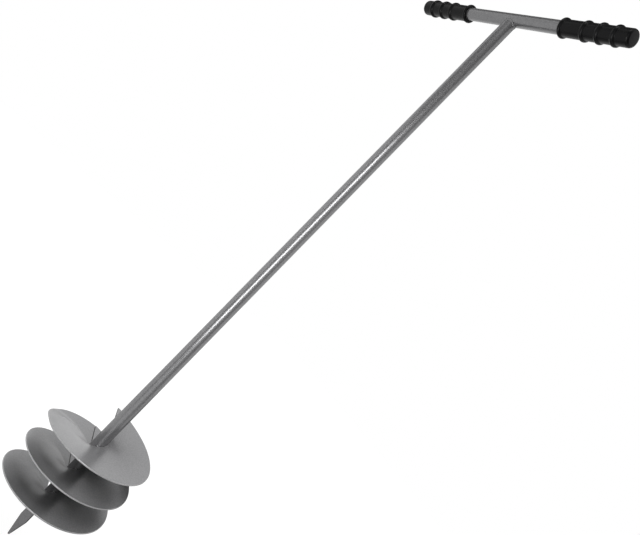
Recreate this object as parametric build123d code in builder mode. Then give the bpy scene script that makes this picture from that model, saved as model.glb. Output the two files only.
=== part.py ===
from build123d import *
import os
from math import cos, radians, sin, sqrt

# A hand earth auger, upright. The shaft runs along Z, the crossbar along X,
# and the origin is on the shaft's axis at the level of the point's tip.

# Half-inch steel tube, the stock of both the shaft and the crossbar
tube_od = 21.3
tube_wall = 2.0

# Overall lengths, heights from the tip
crossbar_height = 1114.0
crossbar_length = 426.0
shaft_bottom = 54.0

# Flights: discs slit once and drawn into one right-hand turn each, angles in degrees
flight_diameter = 180.0
flight_thickness = 2.5
flight_pitch = 46.8
flight_turn = 356.0
flight_dish = 4.0
flight_slit = 1.6
flights_bottom = 73.5
flights_bottom_angle = 166.9

# Spear point: a flat plate let into a slot beside the middle of the shaft's end
point_width = 18.0
point_thickness = 3.0
point_shoulder = 32.0
point_tip_width = 3.0
point_tang_depth = 15.0
point_offset = 5.3
point_angle = 18.0

# Push-on grips, lengths from the open end of the grip
grip_length = 117.0
grip_wall = 2.2
grip_end_wall = 3.0
grip_end_radius = 4.0
collar_width = 6.0
collar_height = 2.3
ring_first = 42.0
ring_spacing = 25.3
ring_count = 3
ring_width = 7.5
ring_height = 2.4

# Handle joint: the shaft's end and the weld reach these angles round the crossbar from its underside
cope_angle = 36.0
saddle_angle = 58.0
saddle_leg = 2.2
saddle_crown = 0.8
saddle_steps = 12

# Welds: fillet beads, stitches below each flight and a tack above it
weld_leg = 3.5
weld_crown = 1.2
weld_bite = 0.5
stitch_angle = 45.0
stitch_count = 3
tack_angle = 14.0
tack_place = 168.0
edge_bead = 1.2

# Clearances between neighbouring pieces
saddle_gap = 0.2
bore_gap = 0.3
grip_gap = 0.15
slot_gap = 0.15
weld_gap = 0.15

tube_r = tube_od / 2
tube_bore_r = tube_r - tube_wall
flight_r = flight_diameter / 2
flight_bore_r = tube_r + bore_gap
shaft_top = crossbar_height - tube_r * cos(radians(cope_angle))

os.makedirs("parts", exist_ok=True)


def radial_plane(angle, height):
    # Plane through the shaft's axis: local x points outwards, local y upwards
    out = (cos(radians(angle)), sin(radians(angle)), 0)
    across = (sin(radians(angle)), -cos(radians(angle)), 0)
    return Plane(origin=(0, 0, height), x_dir=out, z_dir=across)


# The point's plate lies in this plane: local x across the plate, local y upwards
point_across = (cos(radians(point_angle)), sin(radians(point_angle)), 0)
point_out = (sin(radians(point_angle)), -cos(radians(point_angle)), 0)
point_middle = tuple(point_offset * part for part in point_out)
point_plane = Plane(origin=point_middle, x_dir=point_across, z_dir=point_out)

# Shaft: tube, shallow saddle for the crossbar, slot for the point
with BuildPart() as shaft_tube:
    with BuildSketch(Plane.XY.offset(shaft_bottom)):
        Circle(tube_r)
        Circle(tube_bore_r, mode=Mode.SUBTRACT)
    extrude(amount=shaft_top - shaft_bottom)
    with BuildSketch(Plane.YZ):
        with Locations((0, crossbar_height)):
            Circle(tube_r + saddle_gap)
    extrude(amount=tube_od, both=True, mode=Mode.SUBTRACT)
    with BuildSketch(point_plane):
        with Locations((0, shaft_bottom)):
            Rectangle(2 * tube_od, 2 * (point_tang_depth + slot_gap))
    extrude(amount=point_thickness / 2 + slot_gap, both=True, mode=Mode.SUBTRACT)
shaft_tube.part.label = "shaft_tube"
export_step(shaft_tube.part, "parts/shaft_tube.step")

# Crossbar
with BuildPart() as crossbar_tube:
    with BuildSketch(Plane.YZ.offset(-crossbar_length / 2)):
        with Locations((0, crossbar_height)):
            Circle(tube_r)
            Circle(tube_bore_r, mode=Mode.SUBTRACT)
    extrude(amount=crossbar_length)
crossbar_tube.part.label = "crossbar_tube"
export_step(crossbar_tube.part, "parts/crossbar_tube.step")


def oval_radius(angle, along, across):
    # Radius of an oval seen from above, with its half lengths along and across the crossbar
    return 1 / sqrt((cos(radians(angle)) / along) ** 2 + (sin(radians(angle)) / across) ** 2)


def crossbar_skin(angle, radius):
    # Height of the crossbar's lower half at a radius from the shaft's axis
    return crossbar_height - sqrt(tube_r**2 - (radius * sin(radians(angle))) ** 2)


def saddle_section(angle):
    # Bead in a radial plane: root in the joint, toe on the shaft, crown, toe on the crossbar
    root_r = oval_radius(angle, tube_bore_r, tube_r * sin(radians(cope_angle)))
    toe_r = oval_radius(angle, tube_r + saddle_leg, tube_r * sin(radians(saddle_angle)))
    shaft_edge = min(crossbar_skin(angle, tube_r), shaft_top)
    root = Vector(root_r, crossbar_skin(angle, root_r) + weld_bite)
    low_toe = Vector(tube_r - weld_bite, shaft_edge - saddle_leg)
    high_toe = Vector(toe_r, crossbar_skin(angle, toe_r) + weld_bite)
    face = high_toe - low_toe
    outwards = Vector(face.Y, -face.X).normalized()
    crown = (low_toe + high_toe) / 2 + outwards * (saddle_crown + weld_bite)
    return [root, low_toe, crown, high_toe]


# Bead round the saddle joint: half of it is lofted and mirrored, then both tubes are cut out
with BuildPart() as handle_weld:
    for step in range(saddle_steps + 1):
        angle = -90 + 180 * step / saddle_steps
        with BuildSketch(radial_plane(angle, 0)):
            with BuildLine():
                Polyline(*saddle_section(angle), close=True)
            make_face()
    loft(ruled=True)
    mirror(about=Plane.YZ)
    with BuildSketch(Plane.XY.offset(shaft_top + weld_gap)):
        Circle(tube_r + weld_gap)
    extrude(amount=-tube_od, mode=Mode.SUBTRACT)
    with BuildSketch(Plane.YZ):
        with Locations((0, crossbar_height)):
            Circle(tube_r + weld_gap)
    extrude(amount=tube_od, both=True, mode=Mode.SUBTRACT)
handle_weld.part.label = "handle_weld"
export_step(handle_weld.part, "parts/handle_weld.step")

# Grips: half of the long section, turned round the crossbar
grip_bore_r = tube_r + grip_gap
grip_r = grip_bore_r + grip_wall
grip_end = crossbar_length / 2 + grip_gap + grip_end_wall
grip_start = grip_end - grip_length
grip_round = (grip_end - grip_end_radius, grip_r - grip_end_radius)
grip_plane = Plane(origin=(0, 0, crossbar_height), x_dir=(1, 0, 0), z_dir=(0, -1, 0))
bulges = [(grip_start + collar_width / 2, collar_width, collar_height)]
for i in range(ring_count):
    bulges.append((grip_start + ring_first + i * ring_spacing, ring_width, ring_height))

with BuildPart() as grip_right:
    with BuildSketch(grip_plane):
        with BuildLine():
            Line((grip_start, grip_bore_r), (grip_start, grip_r))
            Line((grip_start, grip_r), (grip_round[0], grip_r))
            RadiusArc((grip_round[0], grip_r), (grip_end, grip_round[1]), grip_end_radius)
            Polyline(
                (grip_end, grip_round[1]),
                (grip_end, 0),
                (grip_end - grip_end_wall, 0),
                (grip_end - grip_end_wall, grip_bore_r),
                (grip_start, grip_bore_r),
            )
        make_face()
        for middle, width, height in bulges:
            near = middle - width / 2
            far = middle + width / 2
            with BuildLine():
                ThreePointArc((near, grip_r), (middle, grip_r + height), (far, grip_r))
                Polyline((far, grip_r), (far, grip_bore_r), (near, grip_bore_r), (near, grip_r))
            make_face()
    revolve(axis=Axis((0, 0, crossbar_height), (1, 0, 0)))
grip_right.part.label = "grip_right"
export_step(grip_right.part, "parts/grip_right.step")

with BuildPart() as grip_left:
    mirror(grip_right.part, about=Plane.YZ)
grip_left.part.label = "grip_left"
export_step(grip_left.part, "parts/grip_left.step")

# Spear point: round tip, taper, parallel part and tang in one plate
with BuildPart() as spear_point:
    with BuildSketch(point_plane):
        with BuildLine():
            tip_r = point_tip_width / 2
            ThreePointArc((-tip_r, tip_r), (0, 0), (tip_r, tip_r))
            Polyline(
                (tip_r, tip_r),
                (point_width / 2, point_shoulder),
                (point_width / 2, shaft_bottom + point_tang_depth),
                (-point_width / 2, shaft_bottom + point_tang_depth),
                (-point_width / 2, point_shoulder),
                (-tip_r, tip_r),
            )
        make_face()
    extrude(amount=point_thickness / 2, both=True)
spear_point.part.label = "spear_point"
export_step(spear_point.part, "parts/spear_point.step")

# Beads along both edges of the plate where it lies in the slot
with BuildPart() as point_weld:
    with BuildSketch(Plane(origin=(0, 0, shaft_bottom), x_dir=point_across, z_dir=(0, 0, 1))):
        with Locations((-point_width / 2, -point_offset), (point_width / 2, -point_offset)):
            Circle(point_thickness / 2 + edge_bead)
        Circle(tube_r + weld_gap, mode=Mode.SUBTRACT)
        with Locations((0, -point_offset)):
            Rectangle(
                point_width + 2 * weld_gap,
                point_thickness + 2 * weld_gap,
                mode=Mode.SUBTRACT,
            )
    extrude(amount=point_tang_depth)
point_weld.part.label = "point_weld"
export_step(point_weld.part, "parts/point_weld.step")


def climb(angle):
    # Height that a flight gains over an angle
    return flight_pitch * angle / 360


def hub_helix(angle, height, turn):
    # Right-hand helix along the inner edge of a flight
    helix = Helix(flight_pitch, climb(turn), flight_bore_r, center=(0, 0, height), mode=Mode.PRIVATE)
    return helix.rotate(Axis.Z, angle)


def bead_section(side):
    # Fillet bead in the corner between the shaft and a flight: side is -1 below it, 1 above it
    corner = Vector(tube_r + weld_gap, side * (flight_thickness / 2 + weld_gap) - flight_dish)
    flight_rise = weld_leg * flight_dish / (flight_r - flight_bore_r)
    bulge = (weld_leg + weld_crown) / 2
    return [
        corner,
        corner + Vector(weld_leg, flight_rise),
        corner + Vector(bulge, side * bulge),
        corner + Vector(0, side * weld_leg),
    ]


# Flights from the lowest up, each followed by its own welds
stitches = [flight_turn * (i + 0.5) / stitch_count for i in range(stitch_count)]
beads = [(place, stitch_angle, -1) for place in stitches] + [(tack_place, tack_angle, 1)]

for turn, name in enumerate(["flight_lower", "flight_middle", "flight_upper"]):
    low_angle = flights_bottom_angle + turn * flight_turn
    low_height = flights_bottom + climb(turn * flight_turn)

    with BuildPart() as flight:
        with BuildLine():
            add(hub_helix(low_angle, low_height, flight_turn))
        with BuildSketch(radial_plane(low_angle, low_height)):
            with BuildLine():
                Polyline(
                    (flight_bore_r, -flight_dish - flight_thickness / 2),
                    (flight_r, -flight_thickness / 2),
                    (flight_r, flight_thickness / 2),
                    (flight_bore_r, -flight_dish + flight_thickness / 2),
                    close=True,
                )
            make_face()
        sweep(is_frenet=True)
        for angle in (0, flight_turn):
            with BuildSketch(radial_plane(low_angle + angle, low_height + climb(angle))):
                with Locations((flight_r, 0)):
                    Rectangle(flight_diameter, flight_pitch / 2)
            extrude(amount=flight_slit / 2, both=True, mode=Mode.SUBTRACT)
    flight.part.label = name
    export_step(flight.part, f"parts/{name}.step")

    with BuildPart() as flight_weld:
        for place, length, side in beads:
            start_angle = low_angle + place - length / 2
            start_height = low_height + climb(place - length / 2)
            with BuildLine():
                add(hub_helix(start_angle, start_height, length))
            with BuildSketch(radial_plane(start_angle, start_height)):
                with BuildLine():
                    Polyline(*bead_section(side), close=True)
                make_face()
            sweep(is_frenet=True)
    flight_weld.part.label = f"{name}_weld"
    export_step(flight_weld.part, f"parts/{name}_weld.step")
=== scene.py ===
import bpy
import bmesh
from math import cos, pi, radians, sin, sqrt, tau
from mathutils import Matrix, Vector


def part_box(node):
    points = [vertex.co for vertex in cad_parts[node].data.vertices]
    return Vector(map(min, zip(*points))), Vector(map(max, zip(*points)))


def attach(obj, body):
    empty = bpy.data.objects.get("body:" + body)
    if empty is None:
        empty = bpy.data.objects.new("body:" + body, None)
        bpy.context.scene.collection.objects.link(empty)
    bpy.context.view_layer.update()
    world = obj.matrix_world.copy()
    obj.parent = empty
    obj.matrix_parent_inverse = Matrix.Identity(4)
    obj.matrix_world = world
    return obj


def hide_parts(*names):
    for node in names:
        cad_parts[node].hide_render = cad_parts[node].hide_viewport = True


# Hand earth auger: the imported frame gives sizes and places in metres, this script gives the looks

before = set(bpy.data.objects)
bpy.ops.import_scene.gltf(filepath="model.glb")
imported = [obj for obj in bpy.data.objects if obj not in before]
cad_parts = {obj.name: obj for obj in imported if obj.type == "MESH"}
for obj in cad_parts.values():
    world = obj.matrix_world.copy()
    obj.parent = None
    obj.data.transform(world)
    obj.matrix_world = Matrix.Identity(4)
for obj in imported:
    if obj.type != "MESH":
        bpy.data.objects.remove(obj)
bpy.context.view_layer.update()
mm = 0.001
scene = bpy.context.scene
scene.view_settings.view_transform = "Standard"
print("frame loaded,", len(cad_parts), "nodes")


# Small tools for node trees

def addNode(tree, kind, inputs=None, **settings):
    node = tree.nodes.new(kind)
    for key, value in settings.items():
        setattr(node, key, value)
    for key, value in (inputs or {}).items():
        if isinstance(value, bpy.types.NodeSocket):
            tree.links.new(value, node.inputs[key])
        else:
            node.inputs[key].default_value = value
    return node


def calc(tree, operation, *values):
    node = addNode(tree, "ShaderNodeMath", dict(enumerate(values)), operation=operation)
    return node.outputs[0]


def remap(tree, value, low, high):
    # spreads a 0 to 1 value between low and high
    return calc(tree, "MULTIPLY_ADD", value, high - low, low)


def joinXYZ(tree, x, y, z):
    return addNode(tree, "ShaderNodeCombineXYZ", {"X": x, "Y": y, "Z": z}).outputs[0]


def grainNoise(tree, place, size, detail=2.0):
    # size is the width of one grain
    noise = addNode(tree, "ShaderNodeTexNoise", {"Vector": place, "Scale": 1 / size, "Detail": detail})
    return noise.outputs["Fac"]


def newFinish(name):
    material = bpy.data.materials.new(name)
    material.use_nodes = True
    return material, material.node_tree


def colourRamp(tree, value, colours, spread=(0.0, 1.0)):
    ramp = addNode(tree, "ShaderNodeValToRGB", {"Fac": value})
    for stop, position, colour in zip(ramp.color_ramp.elements, spread, colours):
        stop.position = position
        stop.color = colour
    return ramp.outputs["Color"]


def addBump(tree, height, distance):
    return addNode(tree, "ShaderNodeBump", {"Strength": 1.0, "Height": height, "Distance": distance})


# Small tools for meshes

mergeWithin = 0.001 * mm


def newPiece(name, points, faces, edges=()):
    mesh = bpy.data.meshes.new(name)
    mesh.from_pydata(points, edges, faces)
    piece = bpy.data.objects.new(name, mesh)
    scene.collection.objects.link(piece)
    return piece


def bakePiece(piece):
    # turns what the modifiers give into the piece's own plain mesh
    graph = bpy.context.evaluated_depsgraph_get()
    made = piece.evaluated_get(graph)
    piece.data = bpy.data.meshes.new_from_object(made, preserve_all_data_layers=True, depsgraph=graph)
    piece.modifiers.clear()
    return piece


def tidyNormals(piece):
    work = bmesh.new()
    work.from_mesh(piece.data)
    bmesh.ops.remove_doubles(work, verts=work.verts, dist=mergeWithin)
    bmesh.ops.recalc_face_normals(work, faces=work.faces)
    work.to_mesh(piece.data)
    work.free()


def roundEdges(piece, width, segments=2, share=lambda edge: 1.0, sharperThan=35):
    # share tells how much of the width a sharp edge gets
    work = bmesh.new()
    work.from_mesh(piece.data)
    weight = work.edges.layers.float.new("bevel_weight_edge")
    for edge in work.edges:
        if edge.calc_face_angle(0) > radians(sharperThan):
            edge[weight] = share(edge)
    work.to_mesh(piece.data)
    work.free()
    piece.data.shade_smooth()
    bevel = piece.modifiers.new("roundEdges", "BEVEL")
    bevel.width = width
    bevel.segments = segments
    bevel.limit_method = "WEIGHT"
    bevel.harden_normals = True
    return bakePiece(piece)


def dressPiece(piece, material, node):
    piece.data.materials.clear()
    piece.data.materials.append(material)
    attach(piece, "root")
    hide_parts(node)
    return piece


# Finishes: silver paint and black grips

silverLook = {
    "dark": (0.175, 0.175, 0.180, 1),
    "light": (0.245, 0.244, 0.248, 1),
    "spread": (0.32, 0.68),             # where the mottling turns dark and light
    "grain": 2.2 * mm,                  # soft mottling of the sprayed coat
    "grainShare": 0.65,                 # the rest comes from the flakes
    "flake": 0.45 * mm,
    "slitShade": (0.03, 0.03, 0.03, 1),      # painted shade: near black on the cut faces in the slits, for the shadow in the narrow gap
    "worn": (0.42, 0.42, 0.425, 1),     # rim of the flights: thin paint there, and lighter as a painted highlight along the rim
    "wornWidth": 0.9 * mm,
    "wornPatches": (0.4, 1.4),
    "metallic": 0.55,                   # metal flakes in a clear binder
    "gloss": (0.21, 0.29),              # roughness, smoothest and dullest
    "drawnGloss": (0.28, 0.36),         # the same on the drawn flights
    "weldGloss": (0.42, 0.56),
    "weldGrain": 1.1 * mm,
    "weldLumps": 0.05 * mm,
    "cloud": 14 * mm,                   # size of the duller patches
    "peel": 1.6 * mm,                   # orange peel
    "peelHeight": 0.004 * mm,
}


def silverPaint(name, look, gloss, lumps=0.0, rim=0.0):
    material, tree = newFinish(name)
    shader = tree.nodes["Principled BSDF"]
    place = addNode(tree, "ShaderNodeTexCoord").outputs["Object"]
    mottle = grainNoise(tree, place, look["grain"])
    flake = grainNoise(tree, place, look["flake"], 0.0)
    flakes = calc(tree, "MULTIPLY", flake, 1 - look["grainShare"])
    both = calc(tree, "MULTIPLY_ADD", mottle, look["grainShare"], flakes)
    sprayed = colourRamp(tree, both, (look["dark"], look["light"]), look["spread"])
    # painted shade: the cut faces in the slits are darkened almost to black
    cut = addNode(tree, "ShaderNodeAttribute", attribute_name="slitFace").outputs["Fac"]
    coat = addNode(tree, "ShaderNodeMixRGB", {0: cut, 1: sprayed, 2: look["slitShade"]})
    if rim:
        # lighter band along the outer edge, in patches: thin paint and a painted highlight
        flat = addNode(tree, "ShaderNodeVectorMath", {0: place, 1: (1, 1, 0)}, operation="MULTIPLY")
        reach = addNode(tree, "ShaderNodeVectorMath", {0: flat.outputs[0]}, operation="LENGTH")
        band = addNode(tree, "ShaderNodeMapRange", {
            "Value": reach.outputs["Value"],
            "From Min": rim - look["wornWidth"],
            "From Max": rim - look["wornWidth"] / 2,
        })
        patchy = remap(tree, mottle, *look["wornPatches"])
        # painted highlight and thin paint: the rim band is mixed towards the lighter colour
        worn = calc(tree, "MULTIPLY", band.outputs[0], patchy)
        coat = addNode(tree, "ShaderNodeMixRGB", {0: worn, 1: coat.outputs[0], 2: look["worn"]})
    tree.links.new(coat.outputs[0], shader.inputs["Base Color"])
    cloud = grainNoise(tree, place, look["cloud"])
    tree.links.new(remap(tree, cloud, *gloss), shader.inputs["Roughness"])
    shader.inputs["Metallic"].default_value = look["metallic"]
    bump = addBump(tree, grainNoise(tree, place, look["peel"]), look["peelHeight"])
    if lumps:
        rough = addBump(tree, grainNoise(tree, place, look["weldGrain"]), lumps)
        tree.links.new(rough.outputs["Normal"], bump.inputs["Normal"])
    tree.links.new(bump.outputs["Normal"], shader.inputs["Normal"])
    return material


gripLook = {
    "dark": (0.003, 0.003, 0.0033, 1),
    "light": (0.006, 0.006, 0.0065, 1),
    "gloss": (0.28, 0.38),
    "specular": 0.125,
    "cloud": 9 * mm,
    "grain": 0.9 * mm,
    "grainHeight": 0.003 * mm,
}


def blackGrip(name, look):
    material, tree = newFinish(name)
    shader = tree.nodes["Principled BSDF"]
    place = addNode(tree, "ShaderNodeTexCoord").outputs["Object"]
    cloud = grainNoise(tree, place, look["cloud"])
    colour = colourRamp(tree, cloud, (look["dark"], look["light"]))
    tree.links.new(colour, shader.inputs["Base Color"])
    tree.links.new(remap(tree, cloud, *look["gloss"]), shader.inputs["Roughness"])
    shader.inputs["Specular IOR Level"].default_value = look["specular"]
    bump = addBump(tree, grainNoise(tree, place, look["grain"]), look["grainHeight"])
    tree.links.new(bump.outputs["Normal"], shader.inputs["Normal"])
    return material


steelPaint = silverPaint("steelPaint", silverLook, silverLook["gloss"])
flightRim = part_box("flight_lower")[1].y
flightPaint = silverPaint("flightPaint", silverLook, silverLook["drawnGloss"], rim=flightRim)
weldPaint = silverPaint("weldPaint", silverLook, silverLook["weldGloss"], lumps=silverLook["weldLumps"])
gripRubber = blackGrip("gripRubber", gripLook)
print("finishes made")


# Tubes: one closed wall, with a height for every point of each end

tubeLook = {"sides": 128, "wall": 2.0 * mm, "edge": 0.25 * mm, "saddleGap": 0.2 * mm}
shaftLow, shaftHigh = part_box("shaft_tube")
barLow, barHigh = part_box("crossbar_tube")
tubeRadius = shaftHigh.x
barHeight = (barLow.z + barHigh.z) / 2


def tubeWall(name, lowEnd, highEnd, place):
    points = []
    for radius, end in (
        (tubeRadius, lowEnd),
        (tubeRadius, highEnd),
        (tubeRadius - tubeLook["wall"], highEnd),
        (tubeRadius - tubeLook["wall"], lowEnd),
    ):
        for side in range(tubeLook["sides"]):
            turn = tau * side / tubeLook["sides"]
            x = radius * cos(turn)
            y = radius * sin(turn)
            points.append(place(x, y, end(x, y)))
    faces = []
    for ring in range(4):
        for side in range(tubeLook["sides"]):
            after = (side + 1) % tubeLook["sides"]
            here = ring * tubeLook["sides"]
            there = (ring + 1) % 4 * tubeLook["sides"]
            faces.append((here + side, here + after, there + after, there + side))
    tube = newPiece(name, points, faces)
    tidyNormals(tube)
    return tube


def shaftEnd(x, y):
    # saddle under the crossbar, cut off level at both sides
    saddle = barHeight - sqrt((tubeRadius + tubeLook["saddleGap"]) ** 2 - y * y)
    return min(saddle, shaftHigh.z)


shaftTube = tubeWall("shaftTube", lambda x, y: shaftLow.z, shaftEnd, lambda x, y, h: (x, y, h))
crossbarTube = tubeWall(
    "crossbarTube",
    lambda x, y: barLow.x,
    lambda x, y: barHigh.x,
    lambda x, y, h: (h, x, barHeight + y),
)


# Spear point: a flat plate beside the middle of the shaft's end, let into a slot there

pointLook = {
    "width": 18 * mm,
    "thickness": 3 * mm,
    "shoulder": 32 * mm,        # height where the taper starts
    "tipRadius": 1.5 * mm,
    "offset": 5.3 * mm,         # from the shaft's axis to the middle of the plate
    "turn": radians(18),
    "slotGap": 0.15 * mm,
    "edge": 0.35 * mm,
    "tipSteps": 10,
    "tipLift": 0.01 * mm,
}
pointLow, pointTop = (corner.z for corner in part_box("spear_point"))
plateAcross = Vector((cos(pointLook["turn"]), sin(pointLook["turn"]), 0))
plateOut = Vector((sin(pointLook["turn"]), -cos(pointLook["turn"]), 0))


def platePoint(across, height, out):
    return plateAcross * across + plateOut * (pointLook["offset"] + out) + Vector((0, 0, height))


def makePlate(name, outline, thickness):
    count = len(outline)
    points = [platePoint(a, h, side * thickness / 2) for side in (-1, 1) for a, h in outline]
    faces = [tuple(range(count)), tuple(range(2 * count - 1, count - 1, -1))]
    for i in range(count):
        after = (i + 1) % count
        faces.append((i, i + count, after + count, after))
    plate = newPiece(name, points, faces)
    tidyNormals(plate)
    return plate


half = pointLook["width"] / 2
tip = pointLook["tipRadius"]
tipMiddle = pointLow + pointLook["tipLift"] + tip
pointOutline = []
for step in range(pointLook["tipSteps"] + 1):
    turn = pi + pi * step / pointLook["tipSteps"]
    pointOutline.append((tip * cos(turn), tipMiddle + tip * sin(turn)))
shoulder = pointLook["shoulder"]
pointOutline += [(half, shoulder), (half, pointTop), (-half, pointTop), (-half, shoulder)]
spearPoint = roundEdges(makePlate("spearPoint", pointOutline, pointLook["thickness"]), pointLook["edge"])
dressPiece(spearPoint, steelPaint, "spear_point")

slotTop = pointTop + pointLook["slotGap"]
slotSide = 2 * tubeRadius
slotOutline = [(-slotSide, 0), (slotSide, 0), (slotSide, slotTop), (-slotSide, slotTop)]
slotCutter = makePlate("slotCutter", slotOutline, pointLook["thickness"] + 2 * pointLook["slotGap"])
slot = shaftTube.modifiers.new("slot", "BOOLEAN")
slot.operation = "DIFFERENCE"
slot.object = slotCutter
bakePiece(shaftTube)
bpy.data.objects.remove(slotCutter)
roundEdges(shaftTube, tubeLook["edge"])
roundEdges(crossbarTube, tubeLook["edge"])
dressPiece(shaftTube, steelPaint, "shaft_tube")
dressPiece(crossbarTube, steelPaint, "crossbar_tube")
print("tubes and point made")


# Geometry Nodes: a tree with named sizes, run once and kept as a plain mesh

def newTree(name, sizes):
    tree = bpy.data.node_groups.new(name, "GeometryNodeTree")
    face = tree.interface
    face.new_socket("Geometry", in_out="INPUT", socket_type="NodeSocketGeometry")
    for size in sizes:
        face.new_socket(size, in_out="INPUT", socket_type="NodeSocketFloat")
    face.new_socket("Finish", in_out="INPUT", socket_type="NodeSocketMaterial")
    face.new_socket("Geometry", in_out="OUTPUT", socket_type="NodeSocketGeometry")
    return tree, addNode(tree, "NodeGroupInput").outputs


def endTree(tree, geometry, finish):
    real = addNode(tree, "GeometryNodeRealizeInstances", {"Geometry": geometry})
    painted = addNode(tree, "GeometryNodeSetMaterial", {"Geometry": real.outputs[0], "Material": finish})
    addNode(tree, "NodeGroupOutput", {"Geometry": painted.outputs[0]})


def runTree(piece, tree, values, finish):
    modifier = piece.modifiers.new(tree.name, "NODES")
    modifier.node_group = tree
    given = dict(values, Finish=finish)
    for item in tree.interface.items_tree:
        if item.item_type == "SOCKET" and item.in_out == "INPUT" and item.name in given:
            modifier[item.identifier] = given[item.name]
    return bakePiece(piece)


def readAttribute(tree, name):
    node = addNode(tree, "GeometryNodeInputNamedAttribute", {"Name": name}, data_type="FLOAT")
    return node.outputs["Attribute"]


# Flights: a disc slit once and drawn into a turn of a helix, its hub a little lower than its rim

flightLook = {
    "thickness": 2.5 * mm,
    "pitch": 46.8 * mm,
    "turn": 356,
    "dish": 4 * mm,
    "slit": 0.7 * mm,
    "boreGap": 0.3 * mm,        # open seam round the shaft
    "lowAngle": 166.9,          # where the lowest flight starts, in degrees
    "rimGap": 0.01 * mm,        # keeps the rim inside the CAD part
    "rimWithin": 0.05 * mm,     # an edge this close to the rim belongs to it
    "edge": 0.9 * mm,           # broken edge of the rim
    "innerEdge": 0.25,          # share of it at the hub and the slit
    "wave": 0.5 * mm,           # unevenness left by the drawing
    "waveLength": 70 * mm,
}
# How the drawn end of each flight lies: flat from the slit to a fold, then rising back to the helix
flightEnds = {
    "flight_lower": {"Flat Rim": 0.0, "early": 6},
    "flight_middle": {"Flat Rim": 0.0, "early": 0},
    "flight_upper": {"Flat Rim": 1.0, "early": 0},
}
flatEnd = {
    "Flat Slope": 0.128 * mm,   # per degree
    "Return Slope": 0.17 * mm,
    "Hub Fold": 8,              # degrees from the slit to the fold
    "Rim Fold": 58,
    "Hub Crease": 0.3 * mm,
    "Rim Crease": 3 * mm,
    "End Rise": 0.9 * mm,       # the other end stands up a little beside the next flight's slit
    "End Angle": 50,
}
flightMesh = {
    "across": 31,
    "along": 357,
    "foldCurve": 1.2,           # how the fold bends on its way to the rim
    "soften": 0.4 * mm,         # where the flat end runs out into the helix
    "cutFrom": 0.4999,          # shares of the turn past this, from its middle, are cut faces
}
flightSizes = [
    "Outer Radius", "Bore Radius", "Thickness", "Pitch", "Turn", "Dish", "Slit", "Low Angle", "Low Height",
    "Flat Slope", "Return Slope", "Hub Fold", "Rim Fold", "Hub Crease", "Rim Crease", "Flat Rim",
    "End Rise", "End Angle", "Wave", "Wave Length",
]


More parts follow.
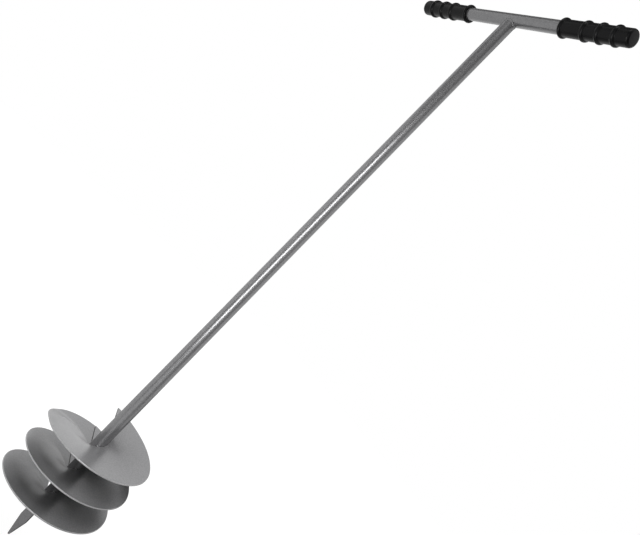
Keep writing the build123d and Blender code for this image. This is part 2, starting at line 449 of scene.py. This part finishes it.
def flightTree():
    tree, size = newTree("flightTurn", flightSizes)
    grid = addNode(tree, "GeometryNodeMeshGrid", {
        "Size X": 1,
        "Size Y": 1,
        "Vertices X": flightMesh["across"],
        "Vertices Y": flightMesh["along"],
    })
    spot = addNode(tree, "GeometryNodeInputPosition").outputs[0]
    place = addNode(tree, "ShaderNodeSeparateXYZ", {0: spot})
    across = calc(tree, "ADD", place.outputs["X"], 0.5)
    share = calc(tree, "ADD", place.outputs["Y"], 0.5)
    width = calc(tree, "SUBTRACT", size["Outer Radius"], size["Bore Radius"])
    radius = calc(tree, "MULTIPLY_ADD", across, width, size["Bore Radius"])
    # parallel slit: the angle that it takes grows towards the hub
    slitSine = calc(tree, "DIVIDE", calc(tree, "MULTIPLY", size["Slit"], 0.5), radius)
    slitAngle = calc(tree, "DEGREES", calc(tree, "ARCSINE", slitSine))
    spread = calc(tree, "MULTIPLY_ADD", slitAngle, -2, size["Turn"])
    along = calc(tree, "MULTIPLY_ADD", share, spread, slitAngle)
    # height: helix and dish
    climb = calc(tree, "MULTIPLY", calc(tree, "DIVIDE", along, 360), size["Pitch"])
    inwards = calc(tree, "SUBTRACT", 1, across)
    sag = calc(tree, "MULTIPLY", inwards, size["Dish"])
    helix = calc(tree, "SUBTRACT", calc(tree, "ADD", climb, size["Low Height"]), sag)
    # then the flat end, creased sharply at the hub and softly at the rim
    creaseGrowth = calc(tree, "SUBTRACT", size["Rim Crease"], size["Hub Crease"])
    crease = calc(tree, "MULTIPLY_ADD", across, creaseGrowth, size["Hub Crease"])
    fall = calc(tree, "MULTIPLY", along, size["Flat Slope"])
    foldGrowth = calc(tree, "SUBTRACT", size["Rim Fold"], size["Hub Fold"])
    foldShare = calc(tree, "POWER", across, flightMesh["foldCurve"])
    fold = calc(tree, "MULTIPLY_ADD", foldShare, foldGrowth, size["Hub Fold"])
    slopes = calc(tree, "ADD", size["Flat Slope"], size["Return Slope"])
    rise = calc(tree, "MULTIPLY", size["Return Slope"], -1)
    back = calc(tree, "MULTIPLY_ADD", along, rise, calc(tree, "MULTIPLY", fold, slopes))
    creased = calc(tree, "SMOOTH_MIN", fall, back, crease)
    drop = calc(tree, "SMOOTH_MAX", creased, 0, flightMesh["soften"])
    steepRim = calc(tree, "SUBTRACT", 1, size["Flat Rim"])
    hubShare = calc(tree, "MULTIPLY", calc(tree, "POWER", inwards, 2), steepRim)
    weight = calc(tree, "ADD", size["Flat Rim"], hubShare)
    bent = calc(tree, "SUBTRACT", helix, calc(tree, "MULTIPLY", drop, weight))
    toEnd = calc(tree, "DIVIDE", calc(tree, "SUBTRACT", size["Turn"], along), size["End Angle"])
    lift = calc(tree, "POWER", calc(tree, "MAXIMUM", calc(tree, "SUBTRACT", 1, toEnd), 0), 2)
    height = calc(tree, "MULTIPLY_ADD", lift, size["End Rise"], bent)
    turn = calc(tree, "RADIANS", calc(tree, "ADD", along, size["Low Angle"]))
    x = calc(tree, "MULTIPLY", radius, calc(tree, "COSINE", turn))
    y = calc(tree, "MULTIPLY", radius, calc(tree, "SINE", turn))
    scale = calc(tree, "DIVIDE", 1, size["Wave Length"])
    onPlate = joinXYZ(tree, x, y, height)
    noise = addNode(tree, "ShaderNodeTexNoise", {"Vector": onPlate, "Scale": scale, "Detail": 1})
    wave = calc(tree, "MULTIPLY", calc(tree, "SUBTRACT", noise.outputs["Fac"], 0.5), size["Wave"])
    halfPlate = calc(tree, "MULTIPLY", size["Thickness"], 0.5)
    topHeight = calc(tree, "ADD", calc(tree, "ADD", height, wave), halfPlate)
    topSpot = joinXYZ(tree, x, y, topHeight)
    marked = addNode(
        tree, "GeometryNodeStoreNamedAttribute",
        {"Geometry": grid.outputs["Mesh"], "Name": "share", "Value": share},
        data_type="FLOAT", domain="POINT",
    )
    top = addNode(tree, "GeometryNodeSetPosition", {"Geometry": marked.outputs[0], "Position": topSpot})
    # the plate's thickness, closed by a turned copy of the top
    down = joinXYZ(tree, 0.0, 0.0, calc(tree, "MULTIPLY", size["Thickness"], -1))
    wall = addNode(
        tree, "GeometryNodeExtrudeMesh",
        {"Mesh": top.outputs[0], "Offset": down, "Offset Scale": 1, "Individual": False},
    )
    both = addNode(tree, "GeometryNodeJoinGeometry")
    for part in (top.outputs[0], wall.outputs["Mesh"]):
        tree.links.new(part, both.inputs[0])
    seam = {"Geometry": both.outputs[0], "Distance": mergeWithin}
    closed = addNode(tree, "GeometryNodeMergeByDistance", seam)
    # mark the cut faces at both sides of the slit, which the paint darkens as painted shade
    fromMiddle = calc(tree, "ABSOLUTE", calc(tree, "SUBTRACT", readAttribute(tree, "share"), 0.5))
    isCut = calc(tree, "GREATER_THAN", fromMiddle, flightMesh["cutFrom"])
    cut = addNode(
        tree, "GeometryNodeStoreNamedAttribute",
        {"Geometry": closed.outputs[0], "Name": "slitFace", "Value": isCut},
        data_type="FLOAT", domain="FACE",
    )
    endTree(tree, cut.outputs[0], size["Finish"])
    return tree


def rimShare(edge):
    onRim = all(corner.co.xy.length > rimRadius - flightLook["rimWithin"] for corner in edge.verts)
    return 1.0 if onRim else flightLook["innerEdge"]


flightNodes = flightTree()
flightNames = {"flight_lower": "flightLower", "flight_middle": "flightMiddle", "flight_upper": "flightUpper"}
for turn, (node, name) in enumerate(flightNames.items()):
    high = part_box(node)[1]
    rimRadius = high.y - flightLook["rimGap"]
    early = flightEnds[node]["early"]
    climb = flightLook["pitch"] * (flightLook["turn"] + early) / 360
    values = {
        "Outer Radius": rimRadius,
        "Bore Radius": tubeRadius + flightLook["boreGap"],
        "Thickness": flightLook["thickness"],
        "Pitch": flightLook["pitch"],
        "Turn": flightLook["turn"] + early,
        "Dish": flightLook["dish"],
        "Slit": flightLook["slit"],
        "Low Angle": flightLook["lowAngle"] + turn * flightLook["turn"] - early,
        "Low Height": high.z - flightLook["thickness"] / 2 - climb,
        "Wave": flightLook["wave"],
        "Wave Length": flightLook["waveLength"],
    }
    values.update(flatEnd)
    values.update(flightEnds[node])
    flight = newPiece(name, [], [])
    runTree(flight, flightNodes, values, flightPaint)
    tidyNormals(flight)
    roundEdges(flight, flightLook["edge"], 1, rimShare)
    dressPiece(flight, flightPaint, node)
print("flights made")


# Welds: rippled beads along a path

beadSizes = ["Radius", "Ripple Step", "Ripple Depth", "Lump", "Taper"]
beadMesh = {"step": 0.3 * mm, "sides": 20, "blunt": 0.1, "lumpSize": 2.4 * mm}


def pushOut(tree, geometry, push):
    normal = addNode(tree, "GeometryNodeInputNormal").outputs[0]
    offset = addNode(tree, "ShaderNodeVectorMath", {0: normal, "Scale": push}, operation="SCALE")
    return addNode(tree, "GeometryNodeSetPosition", {"Geometry": geometry, "Offset": offset.outputs[0]})


def rippleHeight(tree, run, size):
    beat = calc(tree, "DIVIDE", calc(tree, "MULTIPLY", run, pi), size["Ripple Step"])
    return calc(tree, "MULTIPLY", calc(tree, "ABSOLUTE", calc(tree, "SINE", beat)), size["Ripple Depth"])


def lumpHeight(tree, size):
    spot = addNode(tree, "GeometryNodeInputPosition").outputs[0]
    lump = calc(tree, "SUBTRACT", grainNoise(tree, spot, beadMesh["lumpSize"]), 0.5)
    return calc(tree, "MULTIPLY", lump, size["Lump"])


def beadTree():
    tree, size = newTree("weldBead", beadSizes)
    path = addNode(tree, "GeometryNodeMeshToCurve", {"Mesh": size["Geometry"]}).outputs[0]
    steps = {"Curve": path, "Length": beadMesh["step"]}
    fine = addNode(tree, "GeometryNodeResampleCurve", steps, mode="LENGTH")
    run = addNode(tree, "GeometryNodeSplineParameter").outputs["Length"]
    total = addNode(tree, "GeometryNodeSplineLength").outputs["Length"]
    fromEnd = calc(tree, "MINIMUM", run, calc(tree, "SUBTRACT", total, run))
    rise = calc(tree, "MINIMUM", calc(tree, "DIVIDE", fromEnd, size["Taper"]), 1)
    blunt = calc(tree, "SQRT", remap(tree, rise, beadMesh["blunt"], 1))
    swell = calc(tree, "MULTIPLY", calc(tree, "ADD", size["Radius"], rippleHeight(tree, run, size)), blunt)
    circle = {"Resolution": beadMesh["sides"], "Radius": 1.0}
    section = addNode(tree, "GeometryNodeCurvePrimitiveCircle", circle)
    bead = addNode(
        tree, "GeometryNodeCurveToMesh",
        {"Curve": fine.outputs[0], "Profile Curve": section.outputs[0], "Scale": swell, "Fill Caps": True},
    )
    lumpy = pushOut(tree, bead.outputs[0], lumpHeight(tree, size))
    endTree(tree, lumpy.outputs[0], size["Finish"])
    return tree


beadNodes = beadTree()


def weldPiece(name, node, paths, values):
    points = []
    edges = []
    for path in paths:
        first = len(points)
        points += path
        edges += [(first + i, first + i + 1) for i in range(len(path) - 1)]
    weld = newPiece(name, points, [], edges)
    runTree(weld, beadNodes, values, weldPaint)
    tidyNormals(weld)
    weld.data.shade_smooth()
    return dressPiece(weld, weldPaint, node)


# Weld round the handle joint: it fills the open sides of the shaft's end and is nearly flush below
saddleLook = {
    "leg": 2.2 * mm,
    "crown": 0.8 * mm,
    "bite": 0.6 * mm,           # how far the edges of the weld reach into the tubes
    "reach": radians(58),       # how far the weld climbs round the crossbar from its underside
    "cope": radians(36),        # how far the shaft's end does
    "steps": 160,
    "faceSteps": 10,
}
saddleSkin = {"Ripple Step": 3.1 * mm, "Ripple Depth": 0.35 * mm, "Lump": 1.1 * mm}


def ovalRadius(turn, along, across):
    return 1 / sqrt((cos(turn) / along) ** 2 + (sin(turn) / across) ** 2)


def barSkin(turn, radius):
    return barHeight - sqrt(tubeRadius ** 2 - (radius * sin(turn)) ** 2)


def saddleSection(turn):
    # radius and height of each point, from the root in the joint over the face of the weld
    bite = saddleLook["bite"]
    rootRadius = ovalRadius(turn, tubeRadius - tubeLook["wall"], tubeRadius * sin(saddleLook["cope"]))
    toeRadius = ovalRadius(turn, tubeRadius + saddleLook["leg"], tubeRadius * sin(saddleLook["reach"]))
    root = Vector((rootRadius, barSkin(turn, rootRadius) + bite))
    lowToe = Vector((tubeRadius - bite, shaftEnd(0, tubeRadius * sin(turn)) - saddleLook["leg"]))
    highToe = Vector((toeRadius, barSkin(turn, toeRadius) + bite))
    face = highToe - lowToe
    bulge = Vector((face.y, -face.x)).normalized() * (saddleLook["crown"] + bite)
    section = [root]
    for step in range(saddleLook["faceSteps"] + 1):
        share = step / saddleLook["faceSteps"]
        section.append(lowToe + face * share + bulge * sin(pi * share))
    return section


def saddleTree():
    tree, size = newTree("saddleSkin", list(saddleSkin))
    height = calc(tree, "ADD", rippleHeight(tree, readAttribute(tree, "run"), size), lumpHeight(tree, size))
    push = calc(tree, "MULTIPLY", height, readAttribute(tree, "swell"))
    rippled = pushOut(tree, size["Geometry"], push)
    endTree(tree, rippled.outputs[0], size["Finish"])
    return tree


def makeSaddleWeld():
    points = []
    faces = []
    runs = []
    swells = []
    count = saddleLook["faceSteps"] + 2
    for step in range(saddleLook["steps"]):
        turn = tau * step / saddleLook["steps"]
        for i, (radius, height) in enumerate(saddleSection(turn)):
            points.append((radius * cos(turn), radius * sin(turn), height))
            runs.append(turn * tubeRadius)
            swells.append(sin(pi * max(i - 1, 0) / saddleLook["faceSteps"]))
        after = (step + 1) % saddleLook["steps"]
        for i in range(count):
            beside = (i + 1) % count
            here = step * count
            there = after * count
            faces.append((here + i, here + beside, there + beside, there + i))
    weld = newPiece("handleWeld", points, faces)
    for name, values in (("run", runs), ("swell", swells)):
        weld.data.attributes.new(name, "FLOAT", "POINT").data.foreach_set("value", values)
    runTree(weld, saddleTree(), saddleSkin, weldPaint)
    tidyNormals(weld)
    weld.data.shade_smooth()
    return dressPiece(weld, weldPaint, "handle_weld")


makeSaddleWeld()

# Beads along both edges of the plate in its slot
pointBead = {
    "Radius": 2.1 * mm,
    "Ripple Step": 2.2 * mm,
    "Ripple Depth": 0.25 * mm,
    "Lump": 0.7 * mm,
    "Taper": 2.5 * mm,
}
pointBeadStart = 1 * mm         # above the shaft's end
pointBeadStop = 0.5 * mm        # below the top of the plate
pointPaths = []
for side in (-1, 1):
    ends = (shaftLow.z + pointBeadStart, pointTop - pointBeadStop)
    pointPaths.append([platePoint(side * half, h, 0) for h in ends])
weldPiece("pointWeld", "point_weld", pointPaths, pointBead)

# Stitches under each flight and a tack on top of it, along the hub
stitchBead = {
    "Radius": 1.7 * mm,
    "Ripple Step": 2.4 * mm,
    "Ripple Depth": 0.3 * mm,
    "Lump": 0.7 * mm,
    "Taper": 2.5 * mm,
}
# angles in degrees, the tack's place counted from the start of its flight
stitchLook = {"count": 3, "angle": 45, "tackPlace": 168, "tackAngle": 14, "seat": 0.6 * mm, "steps": 12}
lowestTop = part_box("flight_lower")[1].z
flightStart = lowestTop - flightLook["thickness"] / 2 - flightLook["pitch"] * flightLook["turn"] / 360


def hubPath(turn, middle, spread, side):
    path = []
    for step in range(stitchLook["steps"] + 1):
        along = middle - spread / 2 + spread * step / stitchLook["steps"]
        angle = radians(flightLook["lowAngle"] + turn * flightLook["turn"] + along)
        height = flightStart + flightLook["pitch"] * (turn * flightLook["turn"] + along) / 360
        height += side * (flightLook["thickness"] / 2 + stitchLook["seat"]) - flightLook["dish"]
        radius = tubeRadius + stitchLook["seat"]
        path.append(Vector((radius * cos(angle), radius * sin(angle), height)))
    return path


for turn, (node, name) in enumerate(flightNames.items()):
    paths = []
    for i in range(stitchLook["count"]):
        middle = flightLook["turn"] * (i + 0.5) / stitchLook["count"]
        paths.append(hubPath(turn, middle, stitchLook["angle"], -1))
    paths.append(hubPath(turn, stitchLook["tackPlace"], stitchLook["tackAngle"], 1))
    weldPiece(name + "Weld", node + "_weld", paths, stitchBead)
print("welds made")


# Grips: half of the long section, turned round the crossbar

gripShape = {
    "wall": 2.2 * mm,
    "boreGap": 0.15 * mm,
    "endWall": 3 * mm,
    "endRadius": 4 * mm,
    "collarWidth": 6 * mm,
    "collarHeight": 2.28 * mm,
    "ringFirst": 42 * mm,
    "ringSpacing": 25.3 * mm,
    "ringCount": 3,
    "ringWidth": 7.5 * mm,
    "ringHeight": 2.38 * mm,
    "fillet": 0.9 * mm,
    "mouth": 0.6 * mm,
    "mouthSteps": 4,
    "step": 0.25 * mm,
    "endSteps": 8,
    "sides": 96,
    "sharperThan": radians(50),     # edges that stay sharp in the shading
}
gripLow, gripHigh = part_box("grip_right")
gripLength = gripHigh.x - gripLow.x
gripBore = tubeRadius + gripShape["boreGap"]
gripBody = gripBore + gripShape["wall"]


def arcHeight(place, middle, width, height):
    reach = ((width / 2) ** 2 + height ** 2) / (2 * height)
    inside = max(reach ** 2 - (place - middle) ** 2, 0)
    return sqrt(inside) - reach + height


def softLeast(a, b, soft):
    near = max(soft - abs(a - b), 0) / soft
    return min(a, b) - near ** 3 * soft / 6


def gripRadius(place):
    collar = gripShape["collarWidth"]
    bulge = arcHeight(place, collar / 2, collar, gripShape["collarHeight"])
    for ring in range(gripShape["ringCount"]):
        middle = gripShape["ringFirst"] + ring * gripShape["ringSpacing"]
        bulge = max(bulge, arcHeight(place, middle, gripShape["ringWidth"], gripShape["ringHeight"]))
    return gripBody - softLeast(-bulge, 0, gripShape["fillet"])


def gripProfile():
    inner = gripLength - gripShape["endWall"]
    mouth = gripShape["mouth"]
    profile = [(inner, 0), (inner, gripBore), (mouth, gripBore)]
    for step in range(1, gripShape["mouthSteps"] + 1):
        turn = pi / 2 * step / gripShape["mouthSteps"]
        profile.append((mouth - mouth * sin(turn), gripBore + mouth - mouth * cos(turn)))
    bend = gripShape["endRadius"]
    straight = gripLength - bend
    for step in range(int(straight / gripShape["step"])):
        place = step * gripShape["step"]
        profile.append((place, gripRadius(place)))
    corner = gripBody - bend
    for step in range(gripShape["endSteps"] + 1):
        turn = pi / 2 * step / gripShape["endSteps"]
        profile.append((straight + bend * sin(turn), corner + bend * cos(turn)))
    profile.append((gripLength, 0))
    return profile


def makeGrip(name, node, side):
    work = bmesh.new()
    line = [work.verts.new((side * (gripLow.x + s), 0, barHeight + r)) for s, r in gripProfile()]
    edges = [work.edges.new(pair) for pair in zip(line, line[1:])]
    bmesh.ops.spin(
        work, geom=line + edges, cent=(0, 0, barHeight), axis=(1, 0, 0),
        angle=tau, steps=gripShape["sides"], use_merge=True,
    )
    grip = newPiece(name, [], [])
    work.to_mesh(grip.data)
    work.free()
    tidyNormals(grip)
    grip.data.shade_smooth()
    grip.data.set_sharp_from_angle(angle=gripShape["sharperThan"])
    return dressPiece(grip, gripRubber, node)


makeGrip("gripRight", "grip_right", 1)
makeGrip("gripLeft", "grip_left", -1)
print("grips made")


# Stage: white world and floor, soft lamps, dark cards that only the paint mirrors

stageLook = {
    "fill": (0.19, 1.92),       # what diffuse surfaces get from the world, from the sides and from above
    "floorSize": (8.0, 8.0),
    "floorGrey": 0.9,
    "floorShadow": 0.14,        # share of the floor that takes light and shadow
    "floorGlow": 1.10,
    "greyCloth": 0.33,          # colour of the cards
    "paintedShadeFlag": 0.03,         # colour of the flags, painted shade between the flights
    "clothRoughness": 0.9,
}


def sheetPiece(name, size, place=Matrix()):
    w, h = size[0] / 2, size[1] / 2
    corners = ((-w, -h, 0), (w, -h, 0), (w, h, 0), (-w, h, 0))
    return newPiece(name, [place @ Vector(corner) for corner in corners], [(0, 1, 2, 3)])


def whiteFor(tree):
    # 1 for rays that should see plain white
    path = addNode(tree, "ShaderNodeLightPath")
    mirror = calc(tree, "MAXIMUM", path.outputs["Is Glossy Ray"], path.outputs["Is Transmission Ray"])
    return calc(tree, "MAXIMUM", path.outputs["Is Camera Ray"], mirror)


world = bpy.data.worlds.new("studio")
scene.world = world
world.use_nodes = True
worldTree = world.node_tree
direction = addNode(worldTree, "ShaderNodeTexCoord").outputs["Generated"]
upward = addNode(worldTree, "ShaderNodeSeparateXYZ", {0: direction}).outputs["Z"]
overhead = calc(worldTree, "POWER", calc(worldTree, "MAXIMUM", upward, 0), 2)
sky = remap(worldTree, overhead, *stageLook["fill"])
worldStrength = addNode(worldTree, "ShaderNodeMix", {0: whiteFor(worldTree), 2: sky, 3: 1.0}).outputs[0]
worldTree.links.new(worldStrength, worldTree.nodes["Background"].inputs["Strength"])
worldTree.nodes["Background"].inputs["Color"].default_value = (1, 1, 1, 1)

floor = sheetPiece("floor", stageLook["floorSize"])
floorWhite, floorTree = newFinish("floorWhite")
floorTree.nodes.clear()
glowStrength = calc(floorTree, "MULTIPLY", whiteFor(floorTree), stageLook["floorGlow"])
glow = addNode(floorTree, "ShaderNodeEmission", {"Color": (1, 1, 1, 1), "Strength": glowStrength})
floorGrey = stageLook["floorGrey"]
matt = addNode(floorTree, "ShaderNodeBsdfDiffuse", {"Color": (floorGrey, floorGrey, floorGrey, 1)})
blend = addNode(
    floorTree, "ShaderNodeMixShader", {0: stageLook["floorShadow"], 1: glow.outputs[0], 2: matt.outputs[0]},
)
addNode(floorTree, "ShaderNodeOutputMaterial", {"Surface": blend.outputs[0]})
floor.data.materials.append(floorWhite)

lamps = {
    # near the camera's line of sight, for the stripe on the shaft
    "shaftStrip": {
        "place": (0.261, -0.248, 0.635), "aim": (0, 0, 0.635), "size": (0.115, 0.56), "watts": 1.8,
    },
    # from above, for the rims of the flights
    "rimLamp": {"place": (0.18, -1.26, 2.60), "aim": (0, 0, 0.15), "size": (1.40, 0.45), "watts": 14},
    # glow of the backdrop, for the light lobes of the flights
    "backBox": {"place": (-1.70, 1.28, 0.50), "aim": (0, 0, 0.20), "size": (1.60, 0.60), "watts": 0.7},
}
cards = {
    # hood behind and above the crossbar
    "ceilingCard": {"place": (-0.40, 0.15, 1.76), "aim": (-0.40, 0.15, 0), "size": (1.5, 1.4)},
    "backCard": {"place": (-0.48, 0.36, 1.56), "aim": (0, 0, 1.56), "size": (1.3, 0.4)},
    # dark cloth on the floor behind the point, for the undersides of the flights
    "floorCard": {"place": (-0.35, 0.50, 0.002), "aim": (-0.35, 0.50, 1), "size": (1.3, 1.0)},
    "clothEdge": {"place": (-0.46, 0.30, 0.07), "aim": (0, 0, 0.07), "size": (0.7, 0.14)},
    # dim room in front of the upper shaft
    "leftCard": {"place": (-0.15, -1.19, 1.62), "aim": (0, 0, 1.62), "size": (1.4, 0.7)},
    "frontCard": {"place": (1.13, -0.41, 1.62), "aim": (0, 0, 1.62), "size": (2.6, 0.7)},
    # and at both sides of the strip, for the dark bands beside the stripe on the shaft
    "rightCard": {"place": (1.29, 0.18, 0.64), "aim": (0, 0, 0.64), "size": (1.15, 1.26)},
    "rightCloth": {"place": (0.95, 0.13, 0.002), "aim": (0.95, 0.13, 1), "size": (0.72, 0.72)},
    "sideCard": {"place": (0.24, -1.28, 0.64), "aim": (0, 0, 0.64), "size": (0.52, 1.26)},
    "sideCloth": {"place": (0.17, -0.93, 0.002), "aim": (0.17, -0.93, 1), "size": (0.42, 0.42)},
}
flags = {
    # painted shade: small black sheets close behind the covered flights, seen only in the paint's mirror,
    # that darken them like the shade between the flights and keep the bright backdrop out of them
    "middleFlag": {"place": (-0.095, -0.004, 0.159), "aim": (0, -0.004, 0.159), "size": (0.062, 0.016)},
    "lowerFlag": {"place": (-0.094, -0.006, 0.113), "aim": (0, -0.006, 0.113), "size": (0.064, 0.016)},
    "backFlag": {"place": (0.010, 0.108, 0.180), "aim": (0.010, 0, 0.180), "size": (0.120, 0.050)},
}


def placeFor(look):
    ray = Vector(look["aim"]) - Vector(look["place"])
    return Matrix.Translation(look["place"]) @ ray.to_track_quat("-Z", "Y").to_matrix().to_4x4()


def addLamp(name, look):
    light = bpy.data.lights.new(name, "AREA")
    light.shape = "RECTANGLE"
    light.size, light.size_y = look["size"]
    light.energy = look["watts"]
    lamp = bpy.data.objects.new(name, light)
    scene.collection.objects.link(lamp)
    lamp.matrix_world = placeFor(look)
    lamp.visible_camera = False


def cardCloth(name):
    cloth, tree = newFinish(name)
    shade = stageLook[name]
    shader = tree.nodes["Principled BSDF"]
    shader.inputs["Base Color"].default_value = (shade, shade, shade, 1)
    shader.inputs["Roughness"].default_value = stageLook["clothRoughness"]
    return cloth


def addCard(name, look, cloth):
    card = sheetPiece(name, look["size"], placeFor(look))
    card.data.materials.append(cloth)
    card.visible_camera = False
    card.visible_diffuse = False
    card.visible_shadow = False


for name, look in lamps.items():
    addLamp(name, look)
greyCloth = cardCloth("greyCloth")
for name, look in cards.items():
    addCard(name, look, greyCloth)
# black flags: painted shade for the covered flights
paintedShadeFlag = cardCloth("paintedShadeFlag")
for name, look in flags.items():
    addCard(name, look, paintedShadeFlag)

view = {
    "place": (0.7650, -0.5831, 0.5762),
    "aim": (-0.0004, -0.0228, 0.6270),
    "roll": 44.45,
    "lens": 34.669,
    "shift": (0.0420, -0.0611),
}
cameraData = bpy.data.cameras.new("photoView")
cameraData.lens = view["lens"]
cameraData.shift_x, cameraData.shift_y = view["shift"]
camera = bpy.data.objects.new("photoView", cameraData)
scene.collection.objects.link(camera)
camera.matrix_world = placeFor(view) @ Matrix.Rotation(radians(view["roll"]), 4, "Z")
scene.camera = camera
print("stage, lamps and camera made")

bpy.context.view_layer.update()
